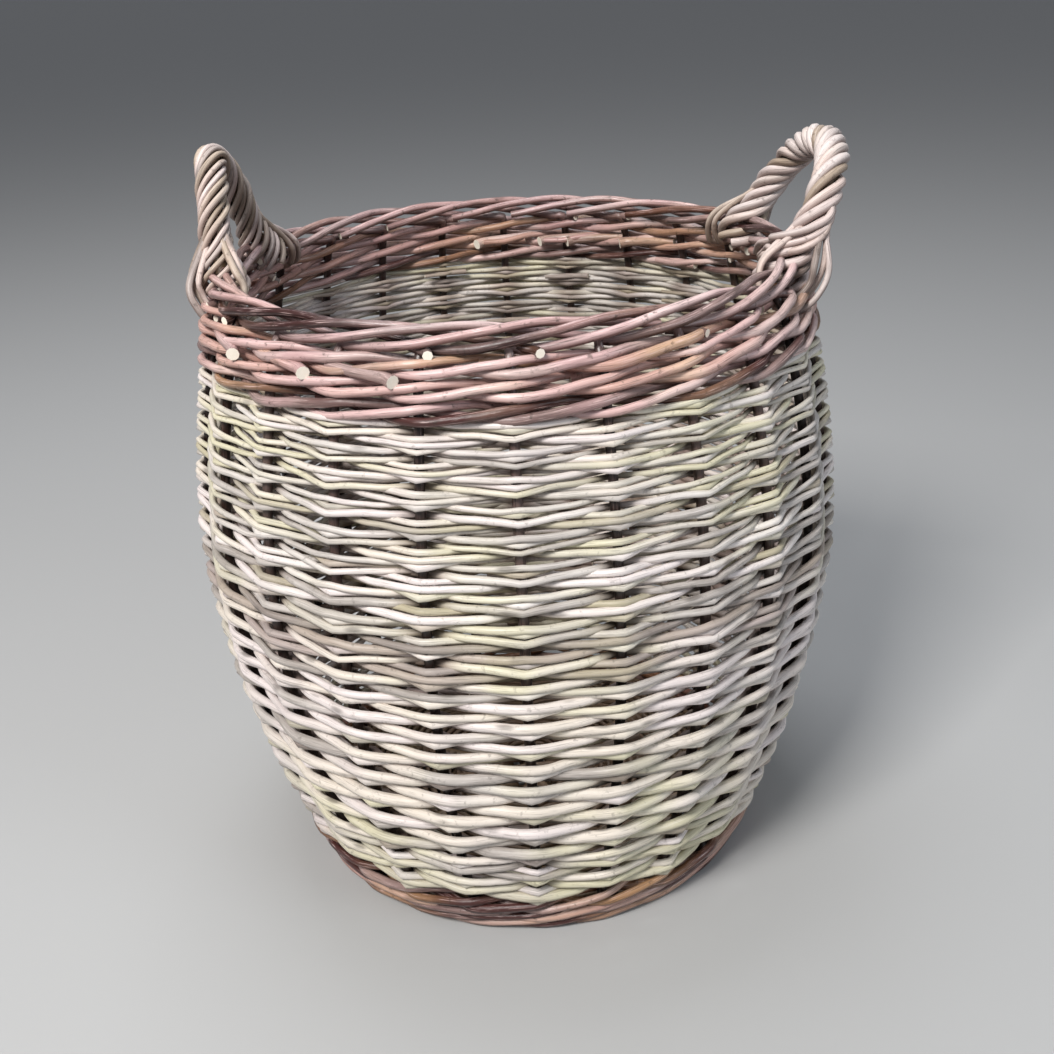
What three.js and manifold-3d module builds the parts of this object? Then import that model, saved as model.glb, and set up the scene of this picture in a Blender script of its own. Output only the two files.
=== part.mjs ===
// Wicker log basket: a round base of crossed sticks, 24 upright willow stakes that turn down
// into the rope border of the rim, woven siding between two wales, and two roped handles.
// Millimetres, +Z up, origin on the floor at the centre of the base.
// The front is -Y, and an azimuth is counted from the front towards +X.
import * as THREE from "three";
import { mergeVertices } from "three/addons/utils/BufferGeometryUtils.js";
import Module from "manifold-3d";

// ---- Driving dimensions ----
const RIM_HEIGHT = 446; // floor to the top of the border
const BULGE_RADIUS = 230; // widest outside radius of the woven wall
const BULGE_HEIGHT = 255; // height of that widest place
const FOOT_TAPER = 58.3; // how much narrower the wall is at the floor
const RIM_TAPER = 31.4; // how much narrower it is at the rim
const TAPER_POWER = 1.8; // how fast the wall curves in

const STAKE_COUNT = 24;
const STAKE_RADIUS = 3.6;
const ROD_SIDES = 6;
const WEAVE_HALF = 2.5; // half the thickness of a woven band
const WEAVE_SWING = 7.15; // how far a band swings out and in past the stakes
const FIT = 0.35; // gap kept between touching pieces

const BASE_RADIUS = 157;
const BASE_BOTTOM = 2.6;
const BASE_TOP = 19.4;
const BASE_EYE_RADIUS = 31; // the weave starts outside the crossed sticks
const STICK_LEVEL = 11; // height of the base sticks' centre lines
const STICK_TURN = THREE.MathUtils.degToRad(7.5); // puts each stick end between two stakes

const FOOT_WALE_TOP = 19.6;
const FOOT_WALE_THICKNESS = 4.6;
const UPSET_WALE_TOP = 34;
const LOWER_SIDING_TOP = 233;
const UPPER_SIDING_TOP = 391.5;
const LOWER_SHRINK = 0.54; // how high a siding's last courses are, as a part of its first ones
const UPPER_SHRINK = 0.68;
const LOWER_BANDS = 7;
const UPPER_BANDS = 6;
const TOP_WALE_TOP = 418.5;
const TOP_WALE_BANDS = 2;

const BORDER_RADIUS = 190; // centre line of the rope border
const BORDER_TWIST_RADIUS = 6.7; // from the border's centre to a strand's centre
const BORDER_THICKNESS = BORDER_TWIST_RADIUS + STAKE_RADIUS; // radius of its round section
const BORDER_LEVEL = RIM_HEIGHT - BORDER_THICKNESS;
const BORDER_TAIL_BAYS = 3.8; // how many bays a stake's tail runs along the border
const BORDER_TURN_PER_BAY = THREE.MathUtils.degToRad(80);

// A shoulder under 1 makes the legs steeper, and a pinch brings them together towards the top.
const HANDLES = {
  right: { azimuth: 91.5, halfSpread: 20, peakRadius: 217, shoulder: 0.72, pinch: 0 },
  left: { azimuth: -97.5, halfSpread: 13.5, peakRadius: 196, shoulder: 0.92, pinch: 0.2 },
};
const HANDLE_RISE = 62; // rim to the centre of the rope at its highest place
const BOW_RADIUS = 4.8;
const ROPE_RADIUS = 11;
const ROPE_SIDES = 8;
const ROPE_STEPS = 14;
const ROPE_FOOT = 9; // height of a leg's end above the border's centre line
const STRAP_INNER = 13; // the strap goes down one side of a leg, under the border and up
const STRAP_THICKNESS = 3.8;
const STRAP_WIDTH = 11;
const STRAP_ARM = 26; // how far its ends lie along the leg

const BAY = (2 * Math.PI) / STAKE_COUNT;
const COLOURS = {
  stake: 0x6b4a3c,
  stick: 0x8a6f52,
  base: 0xa08a6a,
  pale: 0xcbbf9f,
  brown: 0x8c6259,
  handle: 0xc9b7a6,
};

const wasm = await Module();
wasm.setup();

// ---- Helpers ----

// Outside radius of the woven wall at a height.
function outsideRadius(z) {
  const below = z < BULGE_HEIGHT;
  const span = below ? BULGE_HEIGHT : RIM_HEIGHT - BULGE_HEIGHT;
  const taper = below ? FOOT_TAPER : RIM_TAPER;
  return BULGE_RADIUS - taper * Math.abs((z - BULGE_HEIGHT) / span) ** TAPER_POWER;
}

// Radius of the ring of stakes, in the middle of the wall's thickness.
function stakeRing(z) {
  return outsideRadius(z) - WEAVE_SWING - WEAVE_HALF;
}

// A point at an azimuth, counted from -Y towards +X.
function polar(radius, azimuth, z) {
  return new THREE.Vector3(radius * Math.sin(azimuth), -radius * Math.cos(azimuth), z);
}

// A path through given points, one extrusion step to each stretch.
class RodPath extends THREE.Curve {
  constructor(points) {
    super();
    this.points = points;
  }

  getUtoTmapping(u) {
    return u;
  }

  getPoint(t, target = new THREE.Vector3()) {
    const place = t * (this.points.length - 1);
    const i = Math.min(Math.floor(place), this.points.length - 2);
    return target.lerpVectors(this.points[i], this.points[i + 1], place - i);
  }

  getTangent(t, target = new THREE.Vector3()) {
    const last = this.points.length - 1;
    const i = Math.round(t * last);
    const before = this.points[Math.max(i - 1, 0)];
    const after = this.points[Math.min(i + 1, last)];
    return target.subVectors(after, before).normalize();
  }
}

function polygon(radius, sides) {
  const corners = [];
  for (let i = 0; i < sides; i++) {
    const a = (2 * Math.PI * i) / sides;
    corners.push(new THREE.Vector2(radius * Math.cos(a), radius * Math.sin(a)));
  }
  return corners;
}

// A straight-sided rod of one radius along a path, with closed ends.
function rod(points, radius, sides = ROD_SIDES, boreRadius = 0) {
  const shape = new THREE.Shape(polygon(radius, sides));
  if (boreRadius > 0) shape.holes.push(new THREE.Path(polygon(boreRadius, sides).reverse()));
  return new THREE.ExtrudeGeometry(shape, {
    steps: points.length - 1,
    extrudePath: new RodPath(points),
    bevelEnabled: false,
  });
}

// A closed ring with the given (radius, z) section, its columns pushed in or out by swing(azimuth).
function ring(section, segments, swing = () => 0) {
  const closed = [...section, section[0]].map(([r, z]) => new THREE.Vector2(r, z));
  const geometry = new THREE.LatheGeometry(closed, segments).rotateX(Math.PI / 2);
  const places = geometry.getAttribute("position");
  for (let i = 0; i < places.count; i++) {
    const x = places.getX(i);
    const y = places.getY(i);
    const push = 1 + swing(Math.atan2(x, -y)) / Math.hypot(x, y);
    places.setX(i, x * push);
    places.setY(i, y * push);
  }
  return geometry;
}

function solidOf(geometry) {
  const bare = new THREE.BufferGeometry();
  bare.setAttribute("position", geometry.getAttribute("position").clone());
  bare.setIndex(geometry.index);
  const merged = mergeVertices(bare, 1e-3);
  return new wasm.Manifold(
    new wasm.Mesh({
      numProp: 3,
      vertProperties: merged.getAttribute("position").array,
      triVerts: new Uint32Array(merged.index.array),
    }),
  );
}

function geometryOf(solid) {
  const mesh = solid.getMesh();
  const geometry = new THREE.BufferGeometry();
  geometry.setAttribute("position", new THREE.BufferAttribute(mesh.vertProperties, 3));
  geometry.setIndex(new THREE.BufferAttribute(mesh.triVerts, 1));
  geometry.computeVertexNormals();
  return geometry;
}

const basket = new THREE.Group();

function addPiece(name, geometry, colour, roughness = 0.75) {
  const material = new THREE.MeshStandardMaterial({ color: colour, roughness, metalness: 0 });
  const piece = new THREE.Mesh(geometry, material);
  piece.name = name;
  basket.add(piece);
  return piece;
}

// ---- Base: three slit sticks, three sticks through them, and the weave round them ----

// Centre line of a base stick: parallel to its neighbours in the cross, then fanned out.
function stickPath(side, spacing, cross, along) {
  const reach = BASE_RADIUS - 2;
  const fan = (side * Math.PI) / 6;
  const half = [
    [cross, side * spacing],
    [reach * Math.cos(fan), reach * Math.sin(fan)],
  ];
  const line = [...half.map(([a, b]) => [-a, b]).reverse(), ...half];
  return line.map(([a, b]) => {
    const flat = along === "x" ? new THREE.Vector3(a, b, STICK_LEVEL) : new THREE.Vector3(b, a, STICK_LEVEL);
    return flat.applyAxisAngle(new THREE.Vector3(0, 0, 1), STICK_TURN);
  });
}

// The same path running on a little past both ends.
function lengthened(path) {
  const first = path[0].clone().lerp(path[1], -0.03);
  const last = path.at(-1).clone().lerp(path.at(-2), -0.03);
  return [first, ...path.slice(1, -1), last];
}

const SLIT_STICK = { radius: 6.4, spacing: 13.4, cross: 23, sides: 8 };
const THROUGH_STICK = { radius: 3.6, spacing: 8, cross: 25, sides: ROD_SIDES };

function buildBase() {
  const slitLength = 2 * (THROUGH_STICK.spacing + THROUGH_STICK.radius + FIT);
  const slitHeight = 2 * (THROUGH_STICK.radius + FIT);
  const slitGeometry = new THREE.BoxGeometry(slitLength, 90, slitHeight);
  slitGeometry.rotateZ(STICK_TURN).translate(0, 0, STICK_LEVEL);
  const slit = solidOf(slitGeometry);
  const sockets = [];
  for (const side of [-1, 0, 1]) {
    const slitPath = stickPath(side, SLIT_STICK.spacing, SLIT_STICK.cross, "x");
    const throughPath = stickPath(side, THROUGH_STICK.spacing, THROUGH_STICK.cross, "y");
    const slitStick = solidOf(rod(slitPath, SLIT_STICK.radius, SLIT_STICK.sides)).subtract(slit);
    addPiece(`base_slit_stick_${side + 2}`, geometryOf(slitStick), COLOURS.stick);
    addPiece(`base_through_stick_${side + 2}`, rod(throughPath, THROUGH_STICK.radius), COLOURS.stick);
    sockets.push(solidOf(rod(lengthened(slitPath), SLIT_STICK.radius + FIT, SLIT_STICK.sides)));
    sockets.push(solidOf(rod(lengthened(throughPath), THROUGH_STICK.radius + FIT)));
  }
  for (let k = 0; k < STAKE_COUNT; k++) {
    const path = [polar(112 - FIT, k * BAY, 10.6), polar(165, k * BAY, 10.6)];
    sockets.push(solidOf(rod(path, STAKE_RADIUS + FIT)));
  }
  const section = [
    [BASE_EYE_RADIUS, BASE_BOTTOM],
    [BASE_RADIUS, BASE_BOTTOM],
    [BASE_RADIUS, BASE_TOP],
    [BASE_EYE_RADIUS, BASE_TOP],
  ];
  let weave = solidOf(ring(section, STAKE_COUNT).rotateZ(BAY / 2));
  for (const socket of sockets) weave = weave.subtract(socket);
  addPiece("base_weave", geometryOf(weave), COLOURS.base);
}

// ---- Stakes: from a socket in the base, up the wall, and along the border ----

// The butt end pushed into the base weave, and the bend at the base's edge.
function stakeRoot(azimuth) {
  const places = [
    [112, 10.6],
    [158.5, 10.6],
    [170, 18],
  ];
  return places.map(([r, z]) => polar(r, azimuth, z));
}

function stakeWall(azimuth) {
  const bottom = 34;
  const steps = 7;
  const points = [];
  for (let i = 0; i <= steps; i++) {
    const z = bottom + ((TOP_WALE_TOP - bottom) * i) / steps;
    points.push(polar(stakeRing(z), azimuth, z));
  }
  return points;
}

// The tail winds once round the border's centre line: under it, outside, over and inside.
function stakeTail(azimuth) {
  const steps = 9;
  const points = [];
  for (let i = 0; i <= steps; i++) {
    const bays = (BORDER_TAIL_BAYS * i) / steps;
    const turn = bays * BORDER_TURN_PER_BAY - Math.PI / 2;
    const radius = BORDER_RADIUS + BORDER_TWIST_RADIUS * Math.cos(turn);
    const z = BORDER_LEVEL + BORDER_TWIST_RADIUS * Math.sin(turn);
    points.push(polar(radius, azimuth + bays * BAY, z));
  }
  return points;
}

function buildStakes() {
  for (let k = 0; k < STAKE_COUNT; k++) {
    const azimuth = k * BAY;
    const path = [...stakeRoot(azimuth), ...stakeWall(azimuth), ...stakeTail(azimuth)];
    const name = `stake_${String(k + 1).padStart(2, "0")}`;
    addPiece(name, rod(path, STAKE_RADIUS), COLOURS.stake, 0.6);
  }
}

// ---- Woven bands ----

// Swing of a band that passes in front of one stake and behind the next.
function overAndUnder(start) {
  return (azimuth) => {
    const place = Math.round((2 * azimuth) / BAY);
    if (place % 2 !== 0) return 0;
    return (place / 2 + start) % 2 === 0 ? WEAVE_SWING : -WEAVE_SWING;
  };
}

// Swing of a wale, which passes in front of two stakes and behind the third.
function frontTwoBehindOne(start) {
  const atStake = (k) => ((k + start + STAKE_COUNT) % 3 === 0 ? -WEAVE_SWING : WEAVE_SWING);
  return (azimuth) => {
    const place = Math.round((2 * azimuth) / BAY);
    return (atStake(Math.floor(place / 2)) + atStake(Math.ceil(place / 2))) / 2;
  };
}

function band(bottom, top, swing) {
  const low = bottom + FIT / 2;
  const high = top - FIT / 2;
  const section = [
    [stakeRing(low) - WEAVE_HALF, low],
    [stakeRing(low) + WEAVE_HALF, low],
    [stakeRing(high) + WEAVE_HALF, high],
    [stakeRing(high) - WEAVE_HALF, high],
  ];
  return ring(section, 2 * STAKE_COUNT, swing);
}

// A stack of bands from bottom to top. The rods get thinner as the work goes up, so with
// shrink below 1 each band is a little lower than the one under it.
function bandStack(name, bottom, top, count, shrink, swingOf, colour) {
  const level = (i) => {
    const t = i / count;
    const eased = (2 * t - (1 - shrink) * t * t) / (1 + shrink);
    return bottom + (top - bottom) * eased;
  };
  for (let i = 0; i < count; i++) {
    const label = count > 1 ? `${name}_${i + 1}` : name;
    addPiece(label, band(level(i), level(i + 1), swingOf(i)), colour);
  }
}

function buildWeave() {
  const foot = [
    [outsideRadius(0) - FOOT_WALE_THICKNESS, 0],
    [outsideRadius(0), 0],
    [outsideRadius(FOOT_WALE_TOP), FOOT_WALE_TOP],
    [outsideRadius(FOOT_WALE_TOP) - FOOT_WALE_THICKNESS, FOOT_WALE_TOP],
  ];
  addPiece("foot_wale", ring(foot, STAKE_COUNT), COLOURS.brown);
  const wale = frontTwoBehindOne;
  const upperStart = (i) => overAndUnder(i + LOWER_BANDS);
  const { brown, pale } = COLOURS;
  bandStack("upset_wale", FOOT_WALE_TOP, UPSET_WALE_TOP, 1, 1, wale, brown);
  bandStack(
    "lower_siding", UPSET_WALE_TOP, LOWER_SIDING_TOP, LOWER_BANDS, LOWER_SHRINK, overAndUnder, pale,
  );
  bandStack(
    "upper_siding", LOWER_SIDING_TOP, UPPER_SIDING_TOP, UPPER_BANDS, UPPER_SHRINK, upperStart, pale,
  );
  bandStack("top_wale", UPPER_SIDING_TOP, TOP_WALE_TOP, TOP_WALE_BANDS, 1, wale, brown);
}

// ---- Handles: a bow, the rope wound round it, and a strap under the border at each foot ----

// A level cylinder that lies along the border at an azimuth.
function borderCylinder(radius, azimuth) {
  const cylinder = new THREE.CylinderGeometry(radius, radius, 50, 16);
  cylinder.rotateZ(Math.PI / 2).rotateZ(azimuth);
  const place = polar(BORDER_RADIUS, azimuth, BORDER_LEVEL);
  return solidOf(cylinder.translate(place.x, place.y, place.z));
}

// The handle leans out in one plane, so its height and its radius grow together.
function handlePath(azimuth, spread, { peakRadius, shoulder, pinch }) {
  const footRadius = BORDER_RADIUS * Math.cos(spread);
  const halfWidth = BORDER_RADIUS * Math.sin(spread);
  const rise = RIM_HEIGHT + HANDLE_RISE - BORDER_LEVEL;
  const start = Math.asin((ROPE_FOOT / rise) ** (1 / shoulder));
  const out = polar(1, azimuth, 0);
  const side = polar(1, azimuth + Math.PI / 2, 0);
  const points = [];
  for (let i = 0; i <= ROPE_STEPS; i++) {
    const a = start + ((Math.PI - 2 * start) * i) / ROPE_STEPS;
    const climb = Math.sin(a) ** shoulder;
    const point = out.clone().multiplyScalar(footRadius + (peakRadius - footRadius) * climb);
    point.addScaledVector(side, -halfWidth * Math.cos(a) * (1 - pinch * climb * climb));
    point.z = BORDER_LEVEL + rise * climb;
    points.push(point);
  }
  return points;
}

// A U-shaped strap under the border at one foot, square to the handle and leaning with it.
function strap(foot, middle, lean) {
  const outer = STRAP_INNER + STRAP_THICKNESS;
  const shape = new THREE.Shape();
  shape.moveTo(-outer, STRAP_ARM);
  shape.lineTo(-outer, 0);
  shape.absarc(0, 0, outer, Math.PI, 2 * Math.PI, false);
  shape.lineTo(outer, STRAP_ARM);
  shape.lineTo(STRAP_INNER, STRAP_ARM);
  shape.lineTo(STRAP_INNER, 0);
  shape.absarc(0, 0, STRAP_INNER, 2 * Math.PI, Math.PI, true);
  shape.lineTo(-STRAP_INNER, STRAP_ARM);
  const settings = { depth: STRAP_WIDTH, bevelEnabled: false, curveSegments: 8 };
  const geometry = new THREE.ExtrudeGeometry(shape, settings);
  geometry.translate(0, 0, -STRAP_WIDTH / 2).rotateZ(-lean).rotateX(Math.PI / 2);
  geometry.rotateZ(middle - Math.PI / 2);
  const place = polar(BORDER_RADIUS, foot, BORDER_LEVEL);
  return geometry.translate(place.x, place.y, place.z);
}

function buildHandle(side) {
  const { azimuth, halfSpread, peakRadius } = HANDLES[side];
  const middle = THREE.MathUtils.degToRad(azimuth);
  const spread = THREE.MathUtils.degToRad(halfSpread) * Math.sign(azimuth);
  const path = handlePath(middle, spread, HANDLES[side]);
  const leanOut = peakRadius - BORDER_RADIUS * Math.cos(spread);
  const lean = Math.atan2(leanOut, RIM_HEIGHT + HANDLE_RISE - BORDER_LEVEL);
  let bow = solidOf(rod(path, BOW_RADIUS, ROD_SIDES));
  let rope = solidOf(rod(path, ROPE_RADIUS, ROPE_SIDES, BOW_RADIUS + 2 * FIT));
  for (const foot of [middle - spread, middle + spread]) {
    const saddle = borderCylinder(BORDER_THICKNESS + 2 * FIT, foot);
    bow = bow.subtract(saddle);
    rope = rope.subtract(saddle);
  }
  addPiece(`handle_${side}_bow`, geometryOf(bow), COLOURS.stick);
  addPiece(`handle_${side}_rope`, geometryOf(rope), COLOURS.handle, 0.8);
  addPiece(`handle_${side}_strap_front`, strap(middle - spread, middle, lean), COLOURS.handle, 0.8);
  addPiece(`handle_${side}_strap_back`, strap(middle + spread, middle, lean), COLOURS.handle, 0.8);
}

buildBase();
buildStakes();
buildWeave();
buildHandle("right");
buildHandle("left");

export default basket;
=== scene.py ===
# %% [markdown]
# # A wicker log basket, woven rod by rod
#
# This basket is stake-and-strand work. Twenty-four upright willow stakes stand in a round base, long
# rods are woven in and out of them, and at the rim each stake is bent down and laid into a rope-like
# border. Two stiff handles of twisted rods stand on the border.
#
# Almost everything here is one shape, a long thin rod, that follows a rule. So the lesson builds one
# Geometry Nodes sweep for a rod, and then three small trees that say where the rods go. Each finished
# piece stands for one solid of the measured frame, except the few cut butts of the top wale, which only
# lie on theirs. The heights of the weave are read from the frame.

# %% The frame
import math
import random

import bpy
from mathutils import Matrix, Vector


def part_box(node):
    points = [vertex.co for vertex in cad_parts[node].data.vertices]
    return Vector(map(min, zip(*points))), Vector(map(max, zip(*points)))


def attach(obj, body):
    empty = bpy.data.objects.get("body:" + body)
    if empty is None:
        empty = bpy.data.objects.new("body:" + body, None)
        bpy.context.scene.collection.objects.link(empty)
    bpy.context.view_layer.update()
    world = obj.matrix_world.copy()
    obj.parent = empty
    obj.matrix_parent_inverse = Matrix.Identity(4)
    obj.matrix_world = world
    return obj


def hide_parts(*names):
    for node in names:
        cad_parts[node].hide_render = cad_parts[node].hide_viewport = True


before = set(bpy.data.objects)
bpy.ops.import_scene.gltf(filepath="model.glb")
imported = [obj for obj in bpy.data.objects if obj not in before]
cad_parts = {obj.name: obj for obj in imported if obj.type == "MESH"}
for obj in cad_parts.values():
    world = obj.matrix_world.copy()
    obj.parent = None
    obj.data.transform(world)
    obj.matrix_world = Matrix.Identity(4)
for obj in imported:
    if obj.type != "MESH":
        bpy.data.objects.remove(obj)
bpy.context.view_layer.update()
MM = 0.001
print("solids in the frame:", len(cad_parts))

# %% [markdown]
# ## The basket's measures
#
# The wall bulges. Its outside radius follows one soft curve below the widest height and another above
# it, and the stakes stand half a wall's thickness inside that. Reading the heights of the frame's own
# bands means that the weave always fits the solids it stands for.

# %% Measures
STAKES = 24
BAY = 2 * math.pi / STAKES
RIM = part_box("stake_01")[1].z
BULGE, BULGE_HEIGHT = 0.230, 0.255
FOOT_TAPER, RIM_TAPER, POWER = 0.0583, 0.0314, 1.8
SWING = 7.15 * MM
STAKE_INSET = SWING + 2.5 * MM
BORDER_RING = 0.190
BORDER_TWIST = 6.7 * MM
BORDER_LEVEL = RIM - BORDER_TWIST - 3.6 * MM
WALE_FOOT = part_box("top_wale_1")[0].z


def outside(z):
    """Outside radius of the wall at a height."""
    span, taper = (BULGE_HEIGHT, FOOT_TAPER) if z < BULGE_HEIGHT else (RIM - BULGE_HEIGHT, RIM_TAPER)
    return BULGE - taper * abs((z - BULGE_HEIGHT) / span) ** POWER


def stake_ring(z):
    return outside(z) - STAKE_INSET


def polar(radius, azimuth, z):
    """A point at an azimuth counted from the front, which is -Y, towards +X."""
    return Vector((radius * math.sin(azimuth), -radius * math.cos(azimuth), z))


print(f"rim {RIM:.3f} m, widest {2 * BULGE:.2f} m, border centre at {BORDER_LEVEL:.3f} m")

# %% [markdown]
# ## Camera, floor and light
#
# The camera stands a little above the rim and looks down into the mouth, and it leans a little, as a
# hand-held one does. Setting it up first means every later step can be looked at. One large soft light
# on the left, a weaker one on the right and an even sky are enough for thin rods: the gaps between them
# stay dark because the light has to find its way in, and painted shade on what is hidden in the wall
# darkens them more.

# %% Camera
camera_data = bpy.data.cameras.new("camera")
camera_data.sensor_width = 36
camera_data.lens = 42.5
camera = bpy.data.objects.new("camera", camera_data)
bpy.context.scene.collection.objects.link(camera)
turn = Matrix.Rotation(math.radians(-0.4166), 4, "Z")
tip = Matrix.Rotation(math.radians(90 - 24.709), 4, "X")
lean = Matrix.Rotation(math.radians(-2.764), 4, "Z")
camera.matrix_world = Matrix.Translation((0, -0.85, 0.6248)) @ turn @ tip @ lean
bpy.context.scene.camera = camera
print("camera at", [round(v, 3) for v in camera.location], "lens", camera_data.lens)


# %% Floor and lights
def plain_material(name, colour, roughness):
    material = bpy.data.materials.new(name)
    material.use_nodes = True
    shader = material.node_tree.nodes["Principled BSDF"]
    shader.inputs["Base Color"].default_value = (*colour, 1)
    shader.inputs["Roughness"].default_value = roughness
    return material


floor_mesh = bpy.data.meshes.new("floor")
reach = 60
corners = [(-reach, -reach, 0), (reach, -reach, 0), (reach, reach, 0), (-reach, reach, 0)]
floor_mesh.from_pydata(corners, [], [(0, 1, 2, 3)])
floor_mesh.materials.append(plain_material("floor paper", (0.44, 0.44, 0.435), 0.9))
floor = bpy.data.objects.new("floor", floor_mesh)
bpy.context.scene.collection.objects.link(floor)


def area_light(name, place, target, size, power, colour):
    data = bpy.data.lights.new(name, "AREA")
    data.size, data.energy, data.color = size, power, colour
    light = bpy.data.objects.new(name, data)
    bpy.context.scene.collection.objects.link(light)
    light.location = place
    light.rotation_euler = (Vector(target) - Vector(place)).to_track_quat("-Z", "Y").to_euler()
    return light


area_light("key", (-1.0, -1.75, 2.25), (0, 0, 0.25), 0.8, 87, (1.0, 0.98, 0.955))
area_light("fill", (1.9, -1.4, 1.4), (0, 0, 0.25), 1.0, 13, (0.80, 0.90, 1.0))
area_light("sky", (-0.2, 0.5, 2.6), (0, 0, 0.3), 1.2, 24, (0.94, 0.96, 1.0))
world = bpy.data.worlds.new("studio")
world.use_nodes = True
world.node_tree.nodes["Background"].inputs["Color"].default_value = (0.88, 0.92, 1.0, 1)
world.node_tree.nodes["Background"].inputs["Strength"].default_value = 0.24
bpy.context.scene.world = world
bpy.context.scene.view_settings.view_transform = "Standard"

# %% [markdown]
# ## Writing node trees as formulas
#
# A weave is a formula: a cosine carries a rod out and in past the stakes. A node tree can hold that
# formula, but wiring Math nodes one by one hides it. The small class below wraps an output socket, so
# that `a * b + 1` adds the Multiply and Add nodes by itself. It works in geometry and in shader trees.


# %% Fields
class Field:
    """An output socket that can be used in arithmetic. Each operation adds one Math node."""

    def __init__(self, tree, socket):
        self.tree, self.socket = tree, socket

    def math(self, operation, *others):
        node = self.tree.nodes.new("ShaderNodeMath")
        node.operation = operation
        for slot, value in zip(node.inputs, (self, *others)):
            plug(self.tree, value, slot)
        return Field(self.tree, node.outputs[0])

    def __add__(self, other):
        return self.math("ADD", other)

    def __sub__(self, other):
        return self.math("SUBTRACT", other)

    def __mul__(self, other):
        return self.math("MULTIPLY", other)

    def __truediv__(self, other):
        return self.math("DIVIDE", other)

    def clamp(self, low, high):
        return self.math("MAXIMUM", low).math("MINIMUM", high)

    def sin(self):
        return self.math("SINE")

    def cos(self):
        return self.math("COSINE")


def plug(tree, value, slot):
    """Links a field or a socket to an input, or sets the input to a plain value."""
    if isinstance(value, Field):
        value = value.socket
    if isinstance(value, bpy.types.NodeSocket):
        tree.links.new(value, slot)
    else:
        slot.default_value = value


def node_in(tree, kind, inputs=None, **settings):
    """Adds a node, sets its properties, and plugs its inputs by name or number."""
    node = tree.nodes.new(kind)
    for name, value in settings.items():
        setattr(node, name, value)
    for name, value in (inputs or {}).items():
        plug(tree, value, node.inputs[name])
    return node


def field_in(tree, kind, inputs=None, output=0, **settings):
    return Field(tree, node_in(tree, kind, inputs, **settings).outputs[output])


def new_tree(name, kind, inputs, outputs):
    """A node group with named inputs (name, type, default) and outputs (name, type)."""
    tree = bpy.data.node_groups.new(name, kind)
    for label, socket_type, default in inputs:
        slot = tree.interface.new_socket(label, in_out="INPUT", socket_type="NodeSocket" + socket_type)
        if default is not None:
            slot.default_value = default
    for label, socket_type in outputs:
        tree.interface.new_socket(label, in_out="OUTPUT", socket_type="NodeSocket" + socket_type)
    source, sink = tree.nodes.new("NodeGroupInput"), tree.nodes.new("NodeGroupOutput")
    taken = {label: Field(tree, source.outputs[label]) for label, _, _ in inputs}
    return tree, taken, sink


print("field helper ready")

# %% [markdown]
# ## Willow bark
#
# White willow is peeled and pale, brown willow keeps its bark, and no two rods match. Along each rod
# run fine fibres, the tone drifts over a hand's width, and every few centimetres sits a small dark bud
# scar. The pattern has to follow the rod round every bend, so each rod will carry an attribute called
# `straight`: where a point would be if the rod were pulled straight. A shader group reads it once, and
# each kind of willow uses that group with its own colours.
#
# Two more attributes carry painted shade. `inner` marks what is hidden in the wall and gets painted shade,
# and also a few knotty rods that are darker of their own. `under` marks a rod's underside for painted
# shade.


# %% The bark group
bark_group, bark, bark_out = new_tree(
    "willow bark",
    "ShaderNodeTree",
    [
        ("Straight", "Vector", None),
        ("Rod", "Float", 0.5),
        ("Place", "Vector", None),
        ("Pale", "Color", (0.6, 0.55, 0.45, 1)),
        ("Deep", "Color", (0.3, 0.22, 0.15, 1)),
        ("Tint", "Color", (0.5, 0.5, 0.3, 1)),
        ("Tint share", "Float", 0.3),
        ("Blush", "Color", (0.8, 0.62, 0.58, 1)),
        ("Hidden", "Color", (0.42, 0.34, 0.3, 1)),
        ("Variety", "Float", 0.5),
        ("Fibre", "Float", 0.35),
        ("Scars", "Float", 0.7),
        ("Inner", "Float", 0.0),
        ("Under", "Float", 0.0),
        ("Under share", "Float", 0.0),
    ],
    [("Color", "Color"), ("Roughness", "Float"), ("Height", "Float")],
)


def vector_math(tree, operation, a, b):
    return field_in(tree, "ShaderNodeVectorMath", {0: a, 1: b}, operation=operation)


def vector_scale(tree, vector, amount):
    return field_in(tree, "ShaderNodeVectorMath", {0: vector, "Scale": amount}, operation="SCALE")


def noise(tree, vector, scale, detail=2.0, roughness=0.5):
    inputs = {"Vector": vector, "Scale": scale, "Detail": detail, "Roughness": roughness}
    return field_in(tree, "ShaderNodeTexNoise", inputs)


def mix_colour(tree, factor, a, b):
    """The Mix node has sockets for every kind of value. 6 and 7 are its colours, and 2 is the result."""
    return field_in(tree, "ShaderNodeMix", {"Factor": factor, 6: a, 7: b}, output=2, data_type="RGBA")


def step(tree, value, low, high):
    """0 below low, 1 above high, and a smooth rise between."""
    inputs = {"Value": value, "From Min": low, "From Max": high}
    return field_in(tree, "ShaderNodeMapRange", inputs, interpolation_type="SMOOTHSTEP")


# Noise scales of the bark's patterns, and the number of bud scar cells across and along a metre of rod.
FIBRE_SCALE, MOTTLE_SCALE, DRIFT_SCALE, WEATHER_SCALE = 1500.0, 210.0, 13.0, 7.0
FIBRE_STRETCH = (1.0, 1.0, 0.035)
SCAR_CELLS = (90.0, 90.0, 24.0)
DARK_MARK = (0.035, 0.022, 0.014, 1)
# Colour multiplier of the painted shade on the undersides of rods.
UNDERSIDE_SHADE = (0.28, 0.21, 0.19)


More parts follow.
